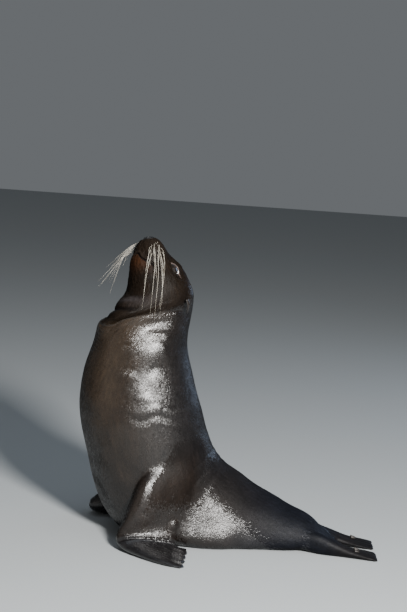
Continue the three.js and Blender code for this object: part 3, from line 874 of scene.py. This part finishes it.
def skin_finish(name, finish):
    made, tree, shader, polish = coat_paint(name, finish)
    lie = attribute(tree, "flow")
    hairs = noise(tree, scaled(tree, lie, (0.14, 1, 1)), 620, 2.5)
    locks = noise(tree, scaled(tree, lie, (0.45, 1, 1)), 130, 3)
    clumps = noise(tree, lie, 120, 3, 0.65)
    streak = node(tree, "Math", {
        0: ramp(tree, hairs, 0.3, 0.7, 0.7, 1.3),
        1: ramp(tree, locks, 0.3, 0.7, 0.86, 1.14),
    }, operation="MULTIPLY").outputs[0]
    painted = scaled(tree, attribute(tree, "tone", "Color"), streak)
    tree.links.new(painted, shader.inputs["Base Color"])
    polish(locks, 0.32, 0.68)
    fur_depth = ramp(tree, attribute(tree, "bare", "Fac"), 0, 1, 1.0, 0.25)
    fine = bump(tree, hairs, 0.0006, fur_depth)
    broad = bump(tree, locks, 0.0008, 0.35, fine)
    damp = bump(tree, clumps, CLUMP_DEPTH, 0.38, broad)
    drops = bump(tree, noise(tree, lie, 260, 3, 0.7), GRAIN_DEPTH, 0.22, damp)
    pebble = node(tree, "TexVoronoi", {"Vector": lie, "Scale": 700.0}).outputs["Distance"]
    leather = bump(tree, pebble, 0.0004, attribute(tree, "nose", "Fac"), drops)
    tree.links.new(leather, shader.inputs["Normal"])
    return made


wet_coat = skin_finish("wet_coat", WET)
dry_coat = skin_finish("dry_coat", DRY)
skin.data.materials.clear()
skin.data.materials.append(wet_coat)
skin.data.materials.append(dry_coat)
dried = (dry + 0.12 * ripple(places, 8, 12))[first_point] > 0.5
skin.data.polygons.foreach_set("material_index", dried.astype(np.int32))
round_shading(skin)
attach(skin, "root")
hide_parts(*[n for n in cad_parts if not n.startswith(("eye", "ear", "toe_nail"))])

# ---- ears
# Each ear is a small rolled point of bare skin, no longer than a finger joint. It grows out behind
# the jaw and hangs back along the neck, with its narrow opening turned forward and down.
EAR_LENGTH = 38
EAR_THICK = 5.6
EAR_START = HEAD_START - 10
EAR_RINGS = 40
EAR_SIDES = 36
EAR_OPENING = 0.55
for name, root_angle, tip_angle in (("left", 18, 27), ("right", 162, 153)):
    root = body_surface(np.array(EAR_START), np.radians(root_angle), -2)
    tip = body_surface(np.array(EAR_START - EAR_LENGTH), np.radians(tip_angle), 6)
    outward = root - body_at(np.array(EAR_START))[:3]
    outward /= np.linalg.norm(outward)
    broad = np.cross(tip - root, outward)
    broad *= (1 if name == "left" else -1) / np.linalg.norm(broad)
    ear_u, spin = ring_grid(np.linspace(0, 1, EAR_RINGS), EAR_SIDES)
    thick = EAR_THICK * np.sqrt(np.clip(1 - (1.12 * ear_u - 0.12) ** 2, 0.01, 1)) * (1 - 0.25 * ear_u)
    opening = EAR_OPENING * bell(spin - 5.4, 0.45) * smooth(ear_u, 0.05, 0.2)
    rolled = 1 - opening * (1 - smooth(ear_u, 0.75, 0.95))
    lift = 5.5 * np.sin(np.pi * ear_u * 0.9) + 0.7 * thick * rolled * np.sin(spin)
    ear_grid = root + (tip - root) * ear_u[..., None] + outward * lift[..., None]
    ear_grid = ear_grid + broad * (1.25 * thick * rolled * np.cos(spin))[..., None]
    ear = mesh_object("ear_flap_" + name, *loft(ear_grid))
    # Painted shade: the inside of the ear's opening is darker.
    painted_opening_shade = (1 - rolled.ravel()) / EAR_OPENING
    colour = shade((0.011, 0.008, 0.0065), (painted_opening_shade, (0.003, 0.002, 0.0018)), count=len(painted_opening_shade))
    give(ear, "tone", "FLOAT_COLOR", np.column_stack([colour, np.zeros(len(colour))]))
    give(ear, "bare", "FLOAT", np.ones(len(colour)))
    give(ear, "nose", "FLOAT", np.zeros(len(colour)))
    give(ear, "flow", "FLOAT_VECTOR", coordinates(ear) * MM)
    ear.data.materials.append(wet_coat)
    round_shading(ear)
    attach(ear, "root")
    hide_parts("ear_" + name)

# ---- eyes
# Each eye is a large dark ball, brown round a wide black pupil, and always wet. It is set in under
# the lids, which hold it, so that only the slit between them shows it.
EYE_RINGS = 40
EYE_SIDES = 56
EYE_POLE = 0.02
PUPIL_BLACK = np.array([0.002, 0.0018, 0.002])
IRIS_BROWN = np.array([0.01, 0.005, 0.0028])
eye_wet = {"Roughness": 0.06, "Coat Weight": 1.0, "Coat Roughness": 0.02}
eye_gloss, tree, shader = paint("eye_gloss", eye_wet)
tree.links.new(attribute(tree, "tone", "Color"), shader.inputs["Base Color"])
polar, round_ = ring_grid(np.linspace(EYE_POLE, np.pi - EYE_POLE, EYE_RINGS), EYE_SIDES)
for name, (middle, outward, along, over) in zip(("left", "right"), eyes):
    globe = middle + EYE_RADIUS * (
        np.cos(polar)[..., None] * outward
        + (np.sin(polar) * np.cos(round_))[..., None] * along
        + (np.sin(polar) * np.sin(round_))[..., None] * over
    )
    eyeball = mesh_object("eyeball_" + name, *loft(globe))
    iris = smooth(polar[:, 0], 0.34, 0.40) - smooth(polar[:, 0], 0.62, 0.72)
    iris = np.repeat(iris, EYE_SIDES)[:, None]
    stripes = 0.8 + 0.4 * np.tile(np.sin(np.arange(EYE_SIDES) * 2.7) ** 2, EYE_RINGS)[:, None]
    colour = PUPIL_BLACK + iris * stripes * IRIS_BROWN
    give(eyeball, "tone", "FLOAT_COLOR", np.column_stack([colour, np.ones(len(colour))]))
    eyeball.data.materials.append(eye_gloss)
    round_shading(eyeball)
    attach(eyeball, "root")
    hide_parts("eye_" + name)

# ---- whiskers
# Stiff cream bristles rooted in the pads of the upper lip, in five rows on each side, longest at
# the back. Wet, they sweep down beside the chin on the left and stand out more on the right.
WHISKER_RINGS = 18
WHISKER_SIDES = 6
LONGEST = 172
SWEEPS = {
    # left is 1 and right is -1: the way that the top row and the bottom row point
    1: ((0.15, -0.40, -0.90), (-0.04, -0.42, -0.90)),
    -1: ((-0.85, 0.10, -0.52), (-0.52, -0.05, -0.85)),
}
RIGHT_START = np.array([-0.75, 0.10, 0.62])
RIGHT_LENGTH = 0.82


def two_tone(tree, spots, dark, pale, start=0.0, end=1.0):
    made = node(tree, "ValToRGB", {"Fac": spots})
    for stop, place, colour in zip(made.color_ramp.elements, (start, end), (dark, pale)):
        stop.position = place
        stop.color = (*colour, 1)
    return made.outputs["Color"]


skin_tree = tree_of(places)
skin_normals = coordinates(skin, "normal")
dice = np.random.default_rng(11)
whisker_points, whisker_faces = [], []
for side, (top_way, low_way) in SWEEPS.items():
    top_way, low_way = np.array(top_way), np.array(low_way)
    for row, column, b, a, u in whisker_roots:
        aim = in_head(b, side * (a + 8), u)
        found = skin_tree.find(aim)[1]
        root = places[found] - skin_normals[found] * 0.8
        way = top_way + (low_way - top_way) * (row / 4)
        way += dice.normal(size=3) * 0.075
        way /= np.linalg.norm(way)
        long = min(56 + 38 * column + 9 * row, LONGEST) * dice.uniform(0.78, 1.08)
        long *= 1 if side > 0 else RIGHT_LENGTH
        start = skin_normals[found] * 0.75 + way * 0.6 if side > 0 else RIGHT_START
        p1 = root + start / np.linalg.norm(start) * long * (0.22 if side > 0 else 0.3)
        p2 = root + way * long * 0.62 + skin_normals[found] * long * 0.06
        p3 = root + way * long - np.array([0, 0, 0.05 * long]) - skin_normals[found] * long * 0.02
        t = np.linspace(0, 1, WHISKER_RINGS)[:, None]
        line = (1 - t) ** 3 * root + 3 * t * (1 - t) ** 2 * p1 + 3 * t * t * (1 - t) * p2 + t**3 * p3
        sway = np.sin(t * dice.uniform(6, 11) + dice.uniform(0, 6)) * t * (1 - t)
        line += sway * dice.normal(size=3) * 1.6
        line_way = unit(np.gradient(line, axis=0))
        across = unit(np.cross(line_way, (0.3, 0.9, 0.2)))
        second = np.cross(line_way, across)
        thick = (0.21 + 0.0016 * long) * (1 - 0.86 * t**1.3)
        spin = round_angles(WHISKER_SIDES)
        rings = (
            line[:, None]
            + across[:, None] * (thick * np.cos(spin))[..., None]
            + second[:, None] * (thick * np.sin(spin))[..., None]
        )
        made_points, made_faces = loft(rings)
        base = sum(len(p) for p in whisker_points)
        whisker_points.append(made_points)
        whisker_faces += [tuple(base + i for i in face) for face in made_faces]
whiskers = mesh_object("whiskers", np.vstack(whisker_points), whisker_faces)
bristle, tree, shader = paint("bristle", {"Roughness": 0.35})
where = node(tree, "TexCoord").outputs["Object"]
cream = two_tone(tree, noise(tree, where, 60, 2), (0.28, 0.25, 0.20), (0.60, 0.57, 0.50), 0.3, 0.7)
tree.links.new(cream, shader.inputs["Base Color"])
whiskers.data.materials.append(bristle)
round_shading(whiskers)
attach(whiskers, "root")

# ---- toe nails
# Three small nails of dark horn lie on top of each hind flipper, one for each middle toe. They grow
# out of the skin well back from the toe tips, and taper to a blunt point.
NAIL_LENGTH, NAIL_WIDE, NAIL_HIGH = 13, 5, 3.5
NAIL_AT = 0.74
NAIL_RINGS = 12
NAIL_SIDES = 14
horn, tree, shader = paint("horn", {"Roughness": 0.5})
where = node(tree, "TexCoord").outputs["Object"]
grain = two_tone(tree, noise(tree, where, 700, 3), (0.008, 0.006, 0.005), (0.026, 0.020, 0.016))
tree.links.new(grain, shader.inputs["Base Color"])
for side, surface in (("left", hind_left), ("right", hind_right)):
    for toe in (2, 3, 4):
        spot, onward, top, _ = surface(np.array(NAIL_AT), np.array(math.pi * (0.94 - 0.11 * toe)))
        beside = np.cross(onward, top)
        beside /= np.linalg.norm(beside)
        u, spin = ring_grid(np.linspace(0, 1, NAIL_RINGS), NAIL_SIDES)
        narrow = np.sqrt(np.clip(1 - u**3, 0.02, 1))
        nail_grid = (
            spot
            + onward * (NAIL_LENGTH * (u - 0.4))[..., None]
            + beside * (0.5 * NAIL_WIDE * narrow * (1 - 0.3 * u) * np.cos(spin))[..., None]
            + top * (0.6 + NAIL_HIGH * (1 - 0.8 * u) * np.sin(spin))[..., None]
        )
        nail = mesh_object(f"nail_{side}_{toe}", *loft(nail_grid))
        nail.data.materials.append(horn)
        round_shading(nail)
        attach(nail, "root")
        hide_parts(f"toe_nail_{side}_{toe}")

# ---- coat
# The wet fur lies flat, so the coat is thousands of thin flat tufts laid along the skin from nose
# to tail. They are longest on the trunk, smallest on the face, and there are none on bare skin.
HEAD_TO = 165
NECK_FROM = 840
RUMP_TO = 480
SPARE = 1.25
FLAT_ENOUGH = 0.95
WIDEST = 0.4
skin.data.calc_loop_triangles()
corners = np.empty(len(skin.data.loop_triangles) * 3, dtype=np.int32)
skin.data.loop_triangles.foreach_get("vertices", corners)
corners = corners.reshape(-1, 3)
a, b, c = (places[corners[:, i]] for i in range(3))
area = np.linalg.norm(np.cross(b - a, c - a), axis=1) / 2
near = corners[:, 0]
furred = (bare[near] < 0.5) & (a[:, 2] > 3) & (skin_normals[near, 2] > -0.93)
furred &= np.minimum(*[np.linalg.norm(a - eye[0], axis=1) for eye in eyes]) > 24
face_share = 1 - smooth(behind[near], 60, 150)
length_here = 12 - 6.5 * face_share - 2.2 * (1 - smooth(behind[near], 20, 60)) - 3 * limb_share[near]
in_limb = limb_share[near] > 0.5
in_front = behind[near] < HEAD_TO
fur_s = skin_s[near]
regions = {
    # where each piece of the coat lies, and its number of tufts
    "coat_head": (in_front, 32000),
    "coat_neck": (~in_front & (fur_s > NECK_FROM) & ~in_limb, 30000),
    "coat_trunk": (~in_front & (fur_s <= NECK_FROM) & (fur_s > RUMP_TO) & ~in_limb, 33000),
    "coat_rump": ((fur_s <= RUMP_TO) & ~in_limb, 27000),
    "coat_limbs": (in_limb & ~in_front, 14000),
}


def tuft_finish(name, finish):
    made, tree, shader, polish = coat_paint(name, finish)
    tree.links.new(attribute(tree, "tone", "Color"), shader.inputs["Base Color"])
    where = node(tree, "TexCoord").outputs["Object"]
    polish(noise(tree, where, 300, 2), 0.3, 0.7)
    damp = bump(tree, noise(tree, where, 120, 3, 0.65), CLUMP_DEPTH, 0.38)
    grit = bump(tree, noise(tree, where, 260, 3, 0.7), GRAIN_DEPTH, 0.18, damp)
    tree.links.new(grit, shader.inputs["Normal"])
    return made


wet_tufts = tuft_finish("wet_tufts", WET)
dry_tufts = tuft_finish("dry_tufts", DRY)

# Where each root lies on the skin laid out flat: the body as one sheet from tail to nose, slit
# down the belly, and each limb as a smaller sheet beside it.
PATCH = 0.003
sheet_u = 0.02 + 0.56 * ((turn[near] + np.pi / 2) % (2 * np.pi)) / (2 * np.pi)
sheet_v = 0.02 + 0.96 * fur_s / BODY_LENGTH
limb_u = 0.62 + 0.19 * (limb_number[near] % 2) + 0.17 * (limb_turn[near] % (2 * np.pi)) / (2 * np.pi)
limb_v = 0.02 + 0.49 * (limb_number[near] // 2) + 0.46 * skin_u[near]
sheet_u = np.where(in_limb, limb_u, sheet_u)
sheet_v = np.where(in_limb, limb_v, sheet_v)
patch = np.array([(0, -0.5), (-0.5, 0), (0.5, 0), (0, 0.1), (0, 0.5)]) * PATCH
tuft_faces = np.array([(0, 1, 3), (0, 3, 2), (0, 2, 1), (4, 3, 1), (4, 2, 3), (4, 1, 2)])
tousle = smooth(ripple(places, 60, 9), 0.5, 1.6)
for name, (mine, count) in regions.items():
    chance = area * furred * mine * (1 + 1.6 * face_share)
    # A quarter too many are set, and those that would stand off the skin in a fold are left out.
    pick = dice.choice(len(area), int(count * SPARE), p=chance / chance.sum())
    s, t = np.sqrt(dice.uniform(size=len(pick))), dice.uniform(size=len(pick))
    root = a[pick] * (1 - s)[:, None] + b[pick] * (s * (1 - t))[:, None] + c[pick] * (s * t)[:, None]
    way = fur_lie[near[pick]] + dice.normal(size=(len(pick), 3)) * 0.11
    out = skin_normals[near[pick]]
    way = unit(way - out * np.sum(way * out, 1)[:, None])
    long = (length_here[pick] * dice.uniform(0.7, 1.25, len(pick)))[:, None]
    tip = root + way * long
    tip_at, _ = nearest(skin_tree, tip)
    lies_flat = np.flatnonzero(np.sum(skin_normals[tip_at] * out, 1) > FLAT_ENOUGH)[:count]
    pick, root, way, out, long, tip, tip_at = (
        rows[lies_flat] for rows in (pick, root, way, out, long, tip, tip_at)
    )
    count, v = len(pick), near[pick]
    tip -= skin_normals[tip_at] * np.sum((tip - places[tip_at]) * skin_normals[tip_at], 1)[:, None]
    beside = np.cross(way, out)
    wide = long * 0.055 + 0.12
    rise = (0.01 + 0.025 * tousle[v] + 0.015 * dice.uniform(size=count))[:, None] * long
    tuft = np.stack([
        root - out * 0.35,
        root + way * long * WIDEST + beside * wide - out * 0.12,
        root + way * long * WIDEST - beside * wide - out * 0.12,
        root + way * long * 0.42 + out * (0.22 + rise * 0.5),
        tip + skin_normals[tip_at] * (rise - 0.1),
    ], 1)
    tuft[..., 2] = np.maximum(tuft[..., 2], 0.2)
    which = (np.arange(count)[:, None, None] * 5 + tuft_faces).reshape(-1, 3)
    piece = mesh_object(name, tuft.reshape(-1, 3), which.tolist())
    brighter = np.repeat(dice.uniform(0.8, 1.3, (count, 1)), 3, axis=1)
    uneven_tone = np.column_stack([brighter, np.ones(count)])
    # Each tuft takes the skin's colour, painted sheen, highlights and shade included, a little lighter
    # or darker at random.
    give(piece, "tone", "FLOAT_COLOR", np.repeat(tone[v] * uneven_tone, 5, axis=0))
    flat = np.column_stack([sheet_u[pick], sheet_v[pick]])[:, None] + patch
    layer = piece.data.uv_layers.new(name="OFBake")
    layer.data.foreach_set("uv", flat.reshape(-1, 2)[which.ravel()].ravel())
    lean = np.array([0, 0.35, -0.35, 0, 0])[None, :, None] * beside[:, None]
    soft = unit(out[:, None] + lean)
    piece.data.normals_split_custom_set_from_vertices(soft.reshape(-1, 3))
    piece.data.materials.append(wet_tufts)
    piece.data.materials.append(dry_tufts)
    dried = dice.uniform(size=count) < dry[v]
    piece.data.polygons.foreach_set("material_index", np.repeat(dried, 6).astype(np.int32))
    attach(piece, "root")
